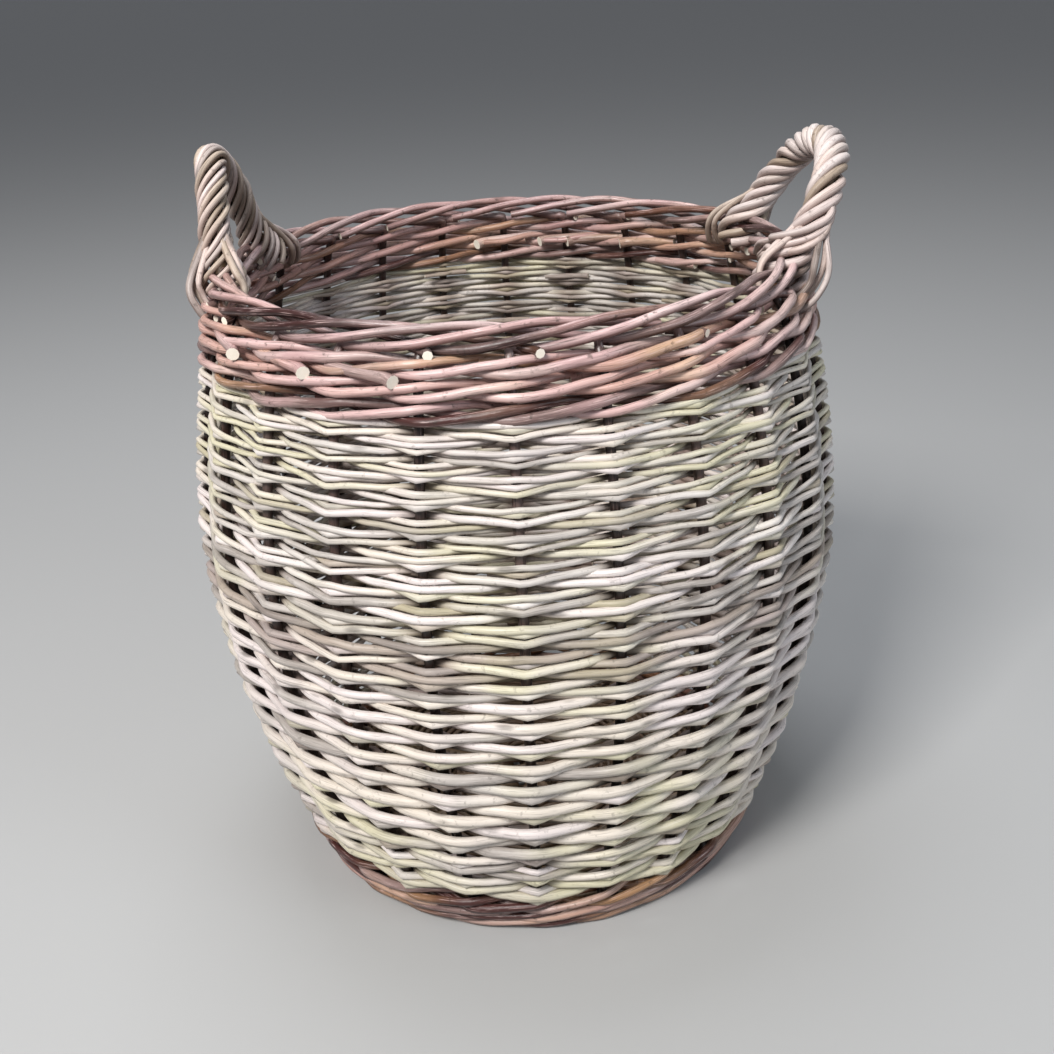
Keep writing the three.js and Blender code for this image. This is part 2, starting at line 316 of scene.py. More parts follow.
def rod_patterns(tree):
    """Fibres, slow drift, fine mottle and bud scars, which all follow the rod."""
    rod = bark["Rod"]
    own = field_in(tree, "ShaderNodeCombineXYZ", {"X": rod * 3.1, "Y": rod * 5.7, "Z": rod * 41.0})
    place = vector_math(tree, "ADD", bark["Straight"], own)
    fibre = noise(tree, vector_math(tree, "MULTIPLY", place, FIBRE_STRETCH), FIBRE_SCALE, 3.0, 0.62)
    drift = noise(tree, vector_math(tree, "MULTIPLY", place, (2.0, 2.0, 1.0)), DRIFT_SCALE, 3.0)
    mottle = noise(tree, place, MOTTLE_SCALE, 3.0, 0.6)
    cell_inputs = {"Vector": vector_math(tree, "MULTIPLY", place, SCAR_CELLS), "Scale": 1.0}
    scar_cell = field_in(tree, "ShaderNodeTexVoronoi", cell_inputs, output="Distance")
    return fibre, drift, mottle, step(tree, scar_cell, 0.20, 0.06)


def rod_tone(tree, drift, weather, height):
    """Each rod has its own tone, which drifts along its length; painted shade makes it a little darker low
    down.
    """
    rod = bark["Rod"]
    tone = (rod - 0.5) * bark["Variety"] + (drift - 0.5) * 1.1 + (weather - 0.5) * 0.5 + 0.6
    # Painted shade: the lower wall gets less light from above.
    tone = tone - step(tree, height, 0.24, 0.08) * 0.14
    tint = step(tree, (rod * 7.31).math("FRACT") * 0.45 + weather * 1.2 + drift * 0.5, 0.94, 1.3)
    deepness = (tone * -1.0 + 1.0).clamp(0.0, 1.0)
    colour = mix_colour(tree, deepness, bark["Pale"], bark["Deep"])
    colour = mix_colour(tree, tint * bark["Tint share"], colour, bark["Tint"])
    elsewhere = vector_math(tree, "ADD", bark["Place"], (3.0, 5.0, 7.0))
    rosy = noise(tree, elsewhere, 9.0, 2.0) + (rod - 0.5) * 0.35 + (drift - 0.5) * 0.6
    return mix_colour(tree, step(tree, rosy, 0.48, 0.66) * 0.5, colour, bark["Blush"])


def marked(tree, colour, fibre, mottle, scar):
    """Adds the fibres, the blotches and the bud scars."""
    dark = mix_colour(tree, 0.72, colour, DARK_MARK)
    lines = step(tree, fibre, 0.52, 0.70) * bark["Fibre"]
    blotch = step(tree, mottle, 0.58, 0.74) * bark["Fibre"]
    bright = step(tree, fibre, 0.46, 0.30) * bark["Fibre"] * 0.7
    colour = mix_colour(tree, bright, colour, bark["Pale"])
    colour = mix_colour(tree, lines.math("MAXIMUM", blotch), colour, dark)
    return mix_colour(tree, scar * bark["Scars"], colour, dark)


def darkened(tree, colour, weather, height):
    """Darker near the ground, painted shade in the wall (deepest low down) and on undersides, and knotty
    rods darker.
    """
    # Darker near the ground.
    near_ground = step(tree, height + (weather - 0.5) * 0.06, 0.055, 0.0) * 0.45
    # Painted shade on what is hidden in the wall, and the darker tone of knotty rods.
    shade = vector_math(tree, "MULTIPLY", colour, bark["Hidden"])
    colour = mix_colour(tree, bark["Inner"].math("MAXIMUM", near_ground), colour, shade)
    # More painted shade inside the wall low down.
    low = bark["Inner"] * step(tree, height, 0.38, 0.18) * 0.9
    colour = mix_colour(tree, low, colour, vector_math(tree, "MULTIPLY", colour, bark["Hidden"]))
    # Painted shade on the undersides of rods.
    underside_shade = vector_math(tree, "MULTIPLY", colour, UNDERSIDE_SHADE)
    return mix_colour(tree, bark["Under"] * bark["Under share"], colour, underside_shade)


def build_bark():
    tree = bark_group
    fibre, drift, mottle, scar = rod_patterns(tree)
    weather = noise(tree, bark["Place"], WEATHER_SCALE, 2.0)
    height = field_in(tree, "ShaderNodeSeparateXYZ", {0: bark["Place"]}, output="Z")
    colour = rod_tone(tree, drift, weather, height)
    colour = marked(tree, colour, fibre, mottle, scar)
    colour = darkened(tree, colour, weather, height)
    plug(tree, colour, bark_out.inputs["Color"])
    plug(tree, (mottle - 0.5) * 0.25 + (fibre - 0.5) * 0.2 + 0.52, bark_out.inputs["Roughness"])
    plug(tree, fibre * 0.5 + mottle * 0.35 + scar * 0.8, bark_out.inputs["Height"])
    print("bark group:", len(tree.nodes), "nodes")


build_bark()

# %% [markdown]
# A material places the group, feeds it the attributes and keeps the shader itself. The finish of each
# willow differs in its colours and in how much its rods differ from each other. The cut ends are bare
# pale wood, and they stand out as light dots among the brown rods of the rim.


# %% Willow materials
BUMP_STRENGTH, BUMP_DEPTH = 0.55, 0.7 * MM


def linear(value):
    value /= 255
    return value / 12.92 if value <= 0.04 else ((value + 0.055) / 1.055) ** 2.4


def colour(red, green, blue):
    """A colour in the 0 to 255 values of a paint chart, made linear."""
    return (linear(red), linear(green), linear(blue), 1)


def attribute(tree, name, output="Fac"):
    return field_in(tree, "ShaderNodeAttribute", output=output, attribute_name=name)


def willow(name, gloss=0.0, **finish):
    """A material that holds the bark group. The finish names the group's own inputs."""
    material = bpy.data.materials.new(name)
    material.use_nodes = True
    tree = material.node_tree
    group = node_in(tree, "ShaderNodeGroup", node_tree=bark_group)
    values = {
        "Straight": attribute(tree, "straight", "Vector"),
        "Rod": attribute(tree, "rod"),
        "Inner": attribute(tree, "inner"),
        "Under": attribute(tree, "under"),
        "Place": field_in(tree, "ShaderNodeTexCoord", output="Object"),
    }
    for label, value in {**values, **finish}.items():
        plug(tree, value, group.inputs[label.replace("_", " ")])
    rough = Field(tree, group.outputs["Roughness"]) - gloss
    bump = node_in(tree, "ShaderNodeBump", {"Height": group.outputs["Height"]})
    bump.inputs["Strength"].default_value = BUMP_STRENGTH
    bump.inputs["Distance"].default_value = BUMP_DEPTH
    shader = tree.nodes["Principled BSDF"]
    plug(tree, group.outputs["Color"], shader.inputs["Base Color"])
    plug(tree, rough, shader.inputs["Roughness"])
    plug(tree, bump.outputs["Normal"], shader.inputs["Normal"])
    return material


# Hidden sets the painted shade of what lies in the wall, and Under share the painted shade under rods.
WHITE_WILLOW = willow(
    "white willow",
    Pale=colour(238, 231, 225),
    Deep=colour(152, 143, 136),
    Tint=colour(212, 206, 164),
    Blush=colour(226, 212, 212),
    Hidden=(0.47, 0.40, 0.37, 1),
    Tint_share=0.62,
    Variety=0.6,
    Fibre=0.55,
    Scars=0.75,
)
BROWN_WILLOW = willow(
    "brown willow",
    gloss=0.16,
    Pale=colour(240, 213, 206),
    Deep=colour(78, 43, 40),
    Tint=colour(210, 166, 120),
    Blush=colour(188, 142, 146),
    Hidden=(0.76, 0.66, 0.64, 1),
    Tint_share=0.6,
    Variety=1.4,
    Fibre=0.85,
    Scars=0.6,
    Under_share=0.45,
)
BORDER_WILLOW = willow(
    "border willow",
    gloss=0.20,
    Pale=colour(238, 210, 206),
    Deep=colour(62, 34, 32),
    Tint=colour(152, 106, 82),
    Blush=colour(178, 138, 140),
    Hidden=(0.17, 0.16, 0.14, 1),
    Tint_share=0.5,
    Variety=1.35,
    Fibre=0.95,
    Scars=0.6,
    Under_share=0.9,
)
HANDLE_WILLOW = willow(
    "handle willow",
    Pale=colour(230, 217, 212),
    Deep=colour(104, 86, 76),
    Tint=colour(172, 148, 112),
    Blush=colour(210, 186, 180),
    Tint_share=0.5,
    Variety=0.9,
    Fibre=0.7,
    Scars=0.6,
    Under_share=0.75,
)
STICK_WILLOW = willow(
    "stick willow",
    Pale=colour(190, 168, 140),
    Deep=colour(112, 88, 66),
    Tint=colour(150, 130, 90),
    Blush=colour(160, 128, 110),
    Hidden=(0.2, 0.15, 0.11, 1),
    Tint_share=0.4,
    Variety=0.5,
    Fibre=0.5,
    Scars=0.8,
)


def cut_wood():
    """Bare end grain: pale, with faint rings round the rod's centre."""
    material = bpy.data.materials.new("cut willow")
    material.use_nodes = True
    tree = material.node_tree
    straight = attribute(tree, "straight", "Vector")
    flat = vector_math(tree, "MULTIPLY", straight, (1.0, 1.0, 0.0))
    away = field_in(tree, "ShaderNodeVectorMath", {0: flat}, output="Value", operation="LENGTH")
    ring = (away * 9000.0).sin() * 0.5 + 0.5
    grain = noise(tree, straight, 900.0, 2.0)
    tone = mix_colour(tree, ring * 0.25 + grain * 0.3, colour(250, 244, 232), colour(222, 206, 178))
    plug(tree, tone, tree.nodes["Principled BSDF"].inputs["Base Color"])
    tree.nodes["Principled BSDF"].inputs["Roughness"].default_value = 0.7
    return material


CUT_WILLOW = cut_wood()
print("materials:", sorted(m.name for m in bpy.data.materials))

# %% [markdown]
# ## One rod: the sweep that everything uses
#
# Curve to Mesh carries a small circle along a curve. The group below does that once for every tree. It
# scales the circle by the rod's thickness, closes the ends and gives the cut ends their own material. It
# stores `straight` from the circle's own points and the length along the curve, and `under` from the way
# the finished surface faces, which marks the undersides for painted shade.

# %% The rod group
rod_group, rod, rod_out = new_tree(
    "rod surface",
    "GeometryNodeTree",
    [
        ("Curve", "Geometry", None),
        ("Thickness", "Float", 0.003),
        ("Sides", "Int", 7),
        ("Bark", "Material", None),
        ("Cut end", "Material", None),
    ],
    [("Geometry", "Geometry")],
)


def captured(tree, geometry, kind, value):
    """Keeps a field's value on the geometry as it is here. Returns the geometry and the kept field."""
    node = tree.nodes.new("GeometryNodeCaptureAttribute")
    node.capture_items.new(kind, "kept")
    plug(tree, geometry, node.inputs[0])
    plug(tree, value, node.inputs[1])
    return node.outputs[0], Field(tree, node.outputs[1])


def stored(tree, geometry, name, kind, value):
    """Writes a field to a named attribute of the points."""
    node = node_in(tree, "GeometryNodeStoreNamedAttribute", data_type=kind, domain="POINT")
    plug(tree, geometry, node.inputs["Geometry"])
    plug(tree, name, node.inputs["Name"])
    plug(tree, value, node.inputs["Value"])
    return node.outputs["Geometry"]


def build_rod_surface():
    tree = rod_group
    spline = node_in(tree, "GeometryNodeSplineParameter")
    curve, share = captured(tree, rod["Curve"], "FLOAT", spline.outputs["Factor"])
    curve, length = captured(tree, curve, "FLOAT", spline.outputs["Length"])
    curve, thickness = captured(tree, curve, "FLOAT", rod["Thickness"])
    circle_inputs = {"Resolution": rod["Sides"], "Radius": 1.0}
    circle = node_in(tree, "GeometryNodeCurvePrimitiveCircle", circle_inputs)
    profile, corner = captured(
        tree, circle.outputs["Curve"], "VECTOR", node_in(tree, "GeometryNodeInputPosition").outputs[0]
    )
    sweep = node_in(tree, "GeometryNodeCurveToMesh", {"Fill Caps": True})
    plug(tree, curve, sweep.inputs["Curve"])
    plug(tree, profile, sweep.inputs["Profile Curve"])
    plug(tree, thickness, sweep.inputs["Scale"])
    sides = vector_scale(tree, corner, thickness)
    along = field_in(tree, "ShaderNodeCombineXYZ", {"Z": length})
    pulled = vector_math(tree, "ADD", sides, along)
    mesh = stored(tree, sweep.outputs[0], "straight", "FLOAT_VECTOR", pulled)
    facing = node_in(tree, "GeometryNodeInputNormal").outputs[0]
    upwards = field_in(tree, "ShaderNodeSeparateXYZ", {0: facing}, output="Z")
    # Marks the underside of each rod for painted shade.
    mesh = stored(tree, mesh, "under", "FLOAT", step(tree, upwards, 0.5, -0.4))
    at_end = (share - 0.5).math("ABSOLUTE").math("GREATER_THAN", 0.4995)
    smooth = node_in(tree, "GeometryNodeSetShadeSmooth", {"Geometry": mesh, "Shade Smooth": True})
    real = node_in(tree, "GeometryNodeRealizeInstances", {"Geometry": smooth.outputs[0]})
    dressed = node_in(
        tree, "GeometryNodeSetMaterial", {"Geometry": real.outputs[0], "Material": rod["Bark"]}
    )
    ended = node_in(
        tree,
        "GeometryNodeSetMaterial",
        {"Geometry": dressed.outputs[0], "Material": rod["Cut end"], "Selection": at_end},
    )
    plug(tree, ended.outputs[0], rod_out.inputs["Geometry"])
    print("rod group:", len(tree.nodes), "nodes")


build_rod_surface()

# %% [markdown]
# ## The weave
#
# A real weaver takes one rod round the basket, in front of one stake and behind the next, and lays the
# next rod the other way. Modelling each crossing by hand would take weeks, and an array of one crossing
# could not taper. So each rod starts as one point that knows its height, its ring and the stake where
# its ends hide. The tree puts a line on every point, bends it by the formula, and sweeps it.
#
# - `wave` is +1 in front of a stake and -1 behind it. Siding waves over two bays. In waling a rod passes
#   in front of two stakes and behind the third, so the wave takes three bays and is cut off at the top.
# - `Crease` sharpens the bend at each stake, and `Hug` keeps a rod near the middle of the wall between
#   the stakes. Together they leave small dark slits beside each stake, with tight columns between.
# - `place` is the rod's height inside its course. The rods of a course spread at the stakes and press
#   together between them, so that two courses can cross there.
# - `Slant` lets the rods of a wale climb over each other like the strands of a rope.

# %% The weave tree
# The height at which a wave is cut off, and how softly.
FLAT_TOP, FLAT_EDGE = 1.08, 0.3

weave_tree, weave, weave_out = new_tree(
    "rounds of weaving",
    "GeometryNodeTree",
    [
        ("Rods", "Geometry", None),
        ("Stakes", "Int", STAKES),
        ("Bays in a wave", "Float", 2.0),
        ("Bias", "Float", 0.0),
        ("Reach", "Float", 1.0),
        ("Crease", "Float", 0.3),
        ("Hug", "Float", 0.0),
        ("Swing", "Float", 0.0069),
        ("Swing tilt", "Float", 0.0),
        ("Spread", "Float", 0.55),
        ("Slant", "Float", 0.0),
        ("Lap", "Float", 0.35),
        ("Wobble", "Float", 0.0007),
        ("Inner side", "Float", 0.85),
        ("Steps", "Int", 216),
        ("Sides", "Int", 7),
        ("Seed", "Float", 0.0),
        ("Bark", "Material", None),
        ("Cut end", "Material", None),
    ],
    [("Geometry", "Geometry")],
)


def named(tree, name, kind="FLOAT"):
    node = node_in(tree, "GeometryNodeInputNamedAttribute", {"Name": name}, data_type=kind)
    return Field(tree, node.outputs["Attribute"])


def build_weave():
    tree = weave_tree
    line = node_in(tree, "GeometryNodeCurvePrimitiveLine", {"End": (0.0, 0.0, 1.0)})
    fine_inputs = {"Curve": line.outputs[0], "Count": weave["Steps"]}
    fine = node_in(tree, "GeometryNodeResampleCurve", fine_inputs)
    copies = node_in(
        tree, "GeometryNodeInstanceOnPoints", {"Points": weave["Rods"], "Instance": fine.outputs[0]}
    )
    rods = node_in(tree, "GeometryNodeRealizeInstances", {"Geometry": copies.outputs[0]})

    stakes = weave["Stakes"]
    share = field_in(tree, "GeometryNodeSplineParameter", output="Factor")
    bays = share * (weave["Lap"] * 2.0 + stakes) - weave["Lap"]
    turns = bays.clamp(0.0, stakes) / weave["Bays in a wave"] * (2 * math.pi)
    bent_cosine = (turns.cos() * weave["Crease"]).math("ARCSINE") / weave["Crease"].math("ARCSINE")
    wave = (weave["Bias"] - bent_cosine * weave["Reach"]).math("SMOOTH_MIN", FLAT_TOP, FLAT_EDGE)
    wave = wave * wave.math("ABSOLUTE").math("POWER", weave["Hug"])
    between = wave * wave * -1.0 + 1.0

    azimuth = (named(tree, "start") + bays) / stakes * (2 * math.pi)
    depth = named(tree, "rod") * 61.0 + weave["Seed"]
    round_place = field_in(
        tree,
        "ShaderNodeCombineXYZ",
        {"X": azimuth.sin() * 2.5, "Y": azimuth.cos() * 2.5, "Z": depth},
    )
    uneven = node_in(tree, "ShaderNodeTexNoise", {"Vector": round_place, "Scale": 1.6, "Detail": 2.0})
    parts = node_in(tree, "ShaderNodeSeparateXYZ", {0: uneven.outputs["Color"]})
    lift = (Field(tree, parts.outputs[0]) - 0.5) * weave["Wobble"] * 4.0
    push = (Field(tree, parts.outputs[1]) - 0.5) * weave["Wobble"] * 2.0
    swell = (Field(tree, parts.outputs[2]) - 0.5) * 0.5 + 1.0

    # The thin tip lies inside the butt where the two ends meet behind a stake.
    tuck = ((bays - stakes + 0.8) * 1.25).clamp(0.0, 1.0) * named(tree, "thick") * -1.7
    sideways = weave["Swing"] * wave
    rise = (
        named(tree, "place") * (wave * wave * weave["Spread"] + 1.0)
        - turns.sin() * weave["Slant"]
        + sideways * weave["Swing tilt"].sin()
        + lift
    )
    radius = (
        named(tree, "ring")
        + named(tree, "lean") * rise
        + sideways * weave["Swing tilt"].cos()
        + named(tree, "lay") * between
        + push
        + tuck
    )
    place = {"X": radius * azimuth.sin(), "Y": radius * azimuth.cos() * -1.0}
    place["Z"] = named(tree, "level") + rise
    target = field_in(tree, "ShaderNodeCombineXYZ", place)
    bent = node_in(tree, "GeometryNodeSetPosition", {"Geometry": rods.outputs[0], "Position": target})
    # Where a rod passes behind a stake it is marked for painted shade. `dusk` adds knotty rods' darker tone
    # and the base's painted shade.
    inner = (step(tree, wave, -0.1, -0.9) * weave["Inner side"]).math("MAXIMUM", named(tree, "dusk"))
    marked = stored(tree, bent.outputs[0], "inner", "FLOAT", inner)
    surface = node_in(tree, "GeometryNodeGroup", node_tree=rod_group)
    plug(tree, marked, surface.inputs["Curve"])
    plug(tree, named(tree, "thick") * (share * -0.28 + 1.13) * swell, surface.inputs["Thickness"])
    for label in ("Sides", "Bark", "Cut end"):
        plug(tree, weave[label], surface.inputs[label])
    plug(tree, surface.outputs[0], weave_out.inputs["Geometry"])
    print("weave tree:", len(tree.nodes), "nodes")


build_weave()

# %% [markdown]
# ## Running a tree
#
# A tree needs something to run on. A carrier is a mesh of bare points, and each point carries the numbers
# of one rod. The modifier's result is then taken as a plain mesh, because what leaves this file has to be
# real geometry and not instances.


# %% Carriers
def carrier(name, points, edges=(), **attributes):
    """A mesh of bare points, or of points and edges, that carries one number per point for each name."""
    mesh = bpy.data.meshes.new(name)
    mesh.from_pydata([tuple(p) for p in points], list(edges), [])
    for label, values in attributes.items():
        mesh.attributes.new(label, "FLOAT", "POINT").data.foreach_set("value", list(values))
    thing = bpy.data.objects.new(name, mesh)
    bpy.context.scene.collection.objects.link(thing)
    return thing


def grown(thing, tree, **settings):
    """Runs a tree on a carrier and returns the result as a plain mesh object of the same name."""
    modifier = thing.modifiers.new("grow", "NODES")
    modifier.node_group = tree
    slots = {s.name: s.identifier for s in tree.interface.items_tree if s.in_out == "INPUT"}
    for label, value in settings.items():
        modifier[slots[label.replace("_", " ")]] = value
    evaluated = thing.evaluated_get(bpy.context.evaluated_depsgraph_get())
    mesh = bpy.data.meshes.new_from_object(evaluated)
    name, carried = thing.name, thing.data
    thing.modifiers.remove(modifier)
    bpy.data.objects.remove(thing)
    bpy.data.meshes.remove(carried)
    piece = bpy.data.objects.new(name, mesh)
    mesh.name = name
    bpy.context.scene.collection.objects.link(piece)
    return piece


def fit(piece, slot, *nodes):
    """The piece rides on the basket and stands for its solids. The slot is not used."""
    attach(piece, "root")
    if nodes:
        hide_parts(*nodes)
    return len(piece.data.polygons)


print("carriers ready")

# %% [markdown]
# ## The siding
#
# The siding is slewed: each course is not one rod but two or three thin ones lying together. It goes up
# in two sets. Each set starts with thick rods and ends with their thin tips, so its courses get lower
# as they rise, and darker, knotty rods show where the second set begins. One piece holds three courses,
# to match one band of the frame.


# %% Rods of a weave
# Height, ring radius, wall slope, height in the course, start bay, radius, depth, number and darkness.
ROD_VALUES = ("level", "ring", "lean", "place", "start", "thick", "lay", "rod", "dusk")


def no_rods():
    return {label: [] for label in ROD_VALUES}


def add_rod(rods, **values):
    """Adds one rod. A value that is not given is 0."""
    for label in ROD_VALUES:
        rods[label].append(values.get(label, 0.0))


def woven(name, rods, **settings):
    """Runs the weave tree on the rods."""
    points = [(0, 0, level) for level in rods["level"]]
    return grown(carrier(name, points, **rods), weave_tree, Cut_end=CUT_WILLOW, **settings)


def wall_slope(z):
    return (outside(z + 0.002) - outside(z - 0.002)) / 0.004


print("values of a rod:", ", ".join(ROD_VALUES))


# %% Siding
# A rod is thicker than its share of the course, because the rods press into each other's hollows.
ROD_GIRTH = 1.42
# How far two neighbours lie to the inside and outside of the course between stakes, for its height.
ROD_LAY = 0.24
# How much the rods of a course spread where they pass a stake.
COURSE_SPREAD = {"lower_siding": 0.42, "upper_siding": 0.6}


def course_edges(bottom, top, courses, shrink):
    """Heights of the course boundaries, each course a little lower than the one under it."""
    edges = []
    for i in range(courses + 1):
        t = i / courses
        edges.append(bottom + (top - bottom) * (2 * t - (1 - shrink) * t * t) / (1 + shrink))
    return edges


def add_course(rods, index, count, low, high, behind, knotty_share, dice):
    """Adds the rods of one course. Some knotty ones are darker than the rest."""
    height, level = high - low, (high + low) / 2
    for j in range(count):
        add_rod(
            rods,
            level=level,
            ring=stake_ring(level),
            lean=wall_slope(level),
            place=(j - (count - 1) / 2) * height / count,
            start=behind + 2 * dice.randrange(STAKES // 2),
            thick=0.5 * ROD_GIRTH * height / count * dice.uniform(0.92, 1.07),
            lay=(ROD_LAY if (index * count + j) % 2 else -ROD_LAY) * height,
            rod=dice.random(),
            dusk=dice.uniform(0.25, 0.55) if dice.random() < knotty_share else 0.0,
        )


def siding(prefix, bands, shrink, first_course, thick_courses, knotty_courses=()):
    bottom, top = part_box(f"{prefix}_1")[0].z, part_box(f"{prefix}_{bands}")[1].z
    edges = course_edges(bottom, top, 3 * bands, shrink)
    dice = random.Random(first_course + 5)
    faces = 0
    for band in range(bands):
        rods = no_rods()
        for i in range(3 * band, 3 * band + 3):
            count = 3 if i < thick_courses else 2
            behind = (first_course + i + 1) % 2
            knotty_share = 0.55 if i in knotty_courses else 0.07
            add_course(rods, i, count, edges[i], edges[i + 1], behind, knotty_share, dice)
        piece = woven(
            f"{prefix}_rods_{band + 1}", rods, Bark=WHITE_WILLOW, Seed=float(band), Steps=297,
            Crease=0.998, Hug=0.4, Wobble=0.001, Spread=COURSE_SPREAD[prefix],
        )
        faces += fit(piece, "siding", f"{prefix}_{band + 1}")
    print(f"{prefix}: {3 * bands} courses, {faces} faces, course heights",
          [round(1000 * (b - a), 1) for a, b in zip(edges, edges[1:])])


siding("lower_siding", 7, shrink=0.54, first_course=0, thick_courses=4)
siding("upper_siding", 6, shrink=0.68, first_course=21, thick_courses=18, knotty_courses=(0, 1))

# %% [markdown]
# ## The wales
#
# A wale is a firm band of brown rods woven three at a time. Each passes in front of two stakes and
# behind the next, a stake after the one before it, so at every place two rods show and one is hidden.
# Two rounds make the foot, which stands on the ground, a third grips the bend of the stakes, and three
# more close the top under the border.


# %% Wales
def add_round(rods, level, first, thickness, ring_shift, dice):
    """Adds the three rods of one round."""
    for k in range(3):
        add_rod(
            rods,
            level=level,
            ring=stake_ring(level) + ring_shift,
            lean=wall_slope(level),
            start=(first + k) % 3 + 3 * dice.randrange(STAKES // 3),
            thick=thickness / 2 * dice.uniform(0.92, 1.06),
            rod=dice.random(),
        )


def wale(name, node, levels, seed, thickness=5.7, swing=7.0, slant=3.7, ring_shift=0.0):
    """Rounds of waling. The levels are in metres, and the other lengths in mm."""
    dice = random.Random(seed)
    rods = no_rods()
    for i, level in enumerate(levels):
        add_round(rods, level, i, thickness * MM, ring_shift * MM, dice)
    piece = woven(
        name, rods, Bark=BROWN_WILLOW, Bays_in_a_wave=3.0, Bias=1 / 3, Reach=4 / 3, Swing=swing * MM,
        Slant=slant * MM, Seed=float(seed), Wobble=0.0012,
    )
    print(name, len(levels), "rounds,", fit(piece, "wale", node), "faces")


FOOT_LEVELS = (6.7 * MM, 15.0 * MM)
UPSET_LEVEL = 26.5 * MM
TOP_LEVELS = [WALE_FOOT + rise * MM for rise in (5.0, 17.6, 29.8)]
wale("foot_wale_rods", "foot_wale", FOOT_LEVELS, 2, thickness=5.8, swing=2.2, slant=3.0, ring_shift=4.0)
wale("upset_wale_rods", "upset_wale", [UPSET_LEVEL], 3, thickness=6.2, swing=6.6, slant=4.6)
wale("top_wale_rods_1", "top_wale_1", TOP_LEVELS[:1], 4)
wale("top_wale_rods_2", "top_wale_2", TOP_LEVELS[1:], 5)

# %% [markdown]
# ## Rods that follow a drawn path
#
# Stakes, sticks and the handles' straps do not repeat along a round, so each is drawn as a line of
# points by a short formula, and a second tree only sweeps it. The thickness at each point is carried
# along as an attribute, because a willow rod tapers from its butt to its tip.

# %% The path tree
path_tree, path, path_out = new_tree(
    "rods along paths",
    "GeometryNodeTree",
    [
        ("Paths", "Geometry", None),
        ("Sides", "Int", 8),
        ("Unevenness", "Float", 0.06),
        ("Seed", "Float", 0.0),
        ("Bark", "Material", None),
        ("Cut end", "Material", None),
    ],
    [("Geometry", "Geometry")],
)


def build_path_tree():
    tree = path_tree
    curve = node_in(tree, "GeometryNodeMeshToCurve", {"Mesh": path["Paths"]})
    length = field_in(tree, "GeometryNodeSplineParameter", output="Length")
    spot_inputs = {"X": length * 28.0, "Y": named(tree, "rod") * 31.0, "Z": path["Seed"]}
    spot = field_in(tree, "ShaderNodeCombineXYZ", spot_inputs)
    swell = (noise(tree, spot, 1.0, 1.0) - 0.5) * 2.0 * path["Unevenness"] + 1.0
    surface = node_in(tree, "GeometryNodeGroup", node_tree=rod_group)
    plug(tree, curve.outputs[0], surface.inputs["Curve"])
    plug(tree, named(tree, "thick") * swell, surface.inputs["Thickness"])
    for label in ("Sides", "Bark", "Cut end"):
        plug(tree, path[label], surface.inputs[label])
    plug(tree, surface.outputs[0], path_out.inputs["Geometry"])
    print("path tree:", len(tree.nodes), "nodes")


build_path_tree()


def rods_along(name, paths, bark, sides=8, unevenness=0.06, seed=0.0, shade_below=0.0):
    """One object of rods. Each path is (points, thickness at each point, the rod's own number)."""
    points, edges, thick, number = [], [], [], []
    for line, radii, own in paths:
        first = len(points)
        points += line
        thick += radii
        number += [own] * len(line)
        edges += [(i, i + 1) for i in range(first, first + len(line) - 1)]
    # Points below shade_below are marked for painted shade.
    inner = [0.9 * min(1.0, max(0.0, (shade_below - p.z) / 0.01)) for p in points]
    thing = carrier(name, points, edges, thick=thick, rod=number, inner=inner)
    return grown(
        thing, path_tree, Bark=bark, Cut_end=CUT_WILLOW, Sides=sides, Unevenness=unevenness, Seed=seed
    )


def smooth_line(points, per_span):
    """A Catmull-Rom curve through the points."""
    ends = [points[0] * 2 - points[1], *points, points[-1] * 2 - points[-2]]
    line = []
    for a, b, c, d in zip(ends, ends[1:], ends[2:], ends[3:]):
        for i in range(per_span):
            t = i / per_span
            bend = (2 * a - 5 * b + 4 * c - d) * t**2 + (3 * b - 3 * c + d - a) * t**3
            line.append(0.5 * (2 * b + (c - a) * t + bend))
    return [*line, points[-1].copy()]


# %% [markdown]
# ## Stakes and border
#
# A stake starts in a socket of the base, bends up at the base's edge, stands in the wall and then, at
# the rim, is bent sideways. Its tail winds once round the line of the border: under it, outside, over
# the top and down inside, while it passes four bays. Twenty-four tails doing that, one bay apart, make
# the rope of the border, four strands thick at every place. Short trimmed ends show under it.


# %% Stakes
STAKE_BUTT, STAKE_TIP = 3.7 * MM, 2.7 * MM
# Radius and height of the stake where it lies in the base and bends up, in mm.
STAKE_ROOT = ((112, 10.6), (135, 10.6), (157, 10.9), (170, 18.5))
WALL_START, WALL_END = 0.034, 0.4185
# Below the border a stake is hidden in the weave and gets painted shade.
SHADE_LEVEL = 0.434


def stake_path(azimuth, dice):
    root = [polar(radius * MM, azimuth, z * MM) for radius, z in STAKE_ROOT]
    wall = []
    steps = 22
    for i in range(steps + 1):
        z = WALL_START + (WALL_END - WALL_START) * i / steps
        wall.append(polar(stake_ring(z), azimuth, z))
    tail = []
    steps = 34
    reach = 3.95 + dice.uniform(-0.12, 0.12)
    for i in range(steps + 1):
        bays = reach * i / steps
        turn = math.radians(80 * bays - 90)
        twist = BORDER_TWIST * (1 + 0.06 * math.sin(5 * bays + azimuth * 7))
        radius = BORDER_RING + twist * math.cos(turn)
        tail.append(polar(radius, azimuth + bays * BAY, BORDER_LEVEL + twist * math.sin(turn)))
    return smooth_line([*root, *wall, *tail], 2)


def stub(azimuth, dice):
    """A short trimmed end that comes out under the border and turns outwards."""
    level = BORDER_LEVEL - dice.uniform(6, 10) * MM
    line = []
    for along, out, up in ((-20, -4, 2), (-11, 1.5, 1), (-3.5, 6, 0), (-1.5, 11, -0.3)):
        line.append(polar(BORDER_RING + out * MM, azimuth + along * MM / BORDER_RING, level + up * MM))
    line = smooth_line(line, 3)
    return line, [dice.uniform(2.5, 3.1) * MM] * len(line)


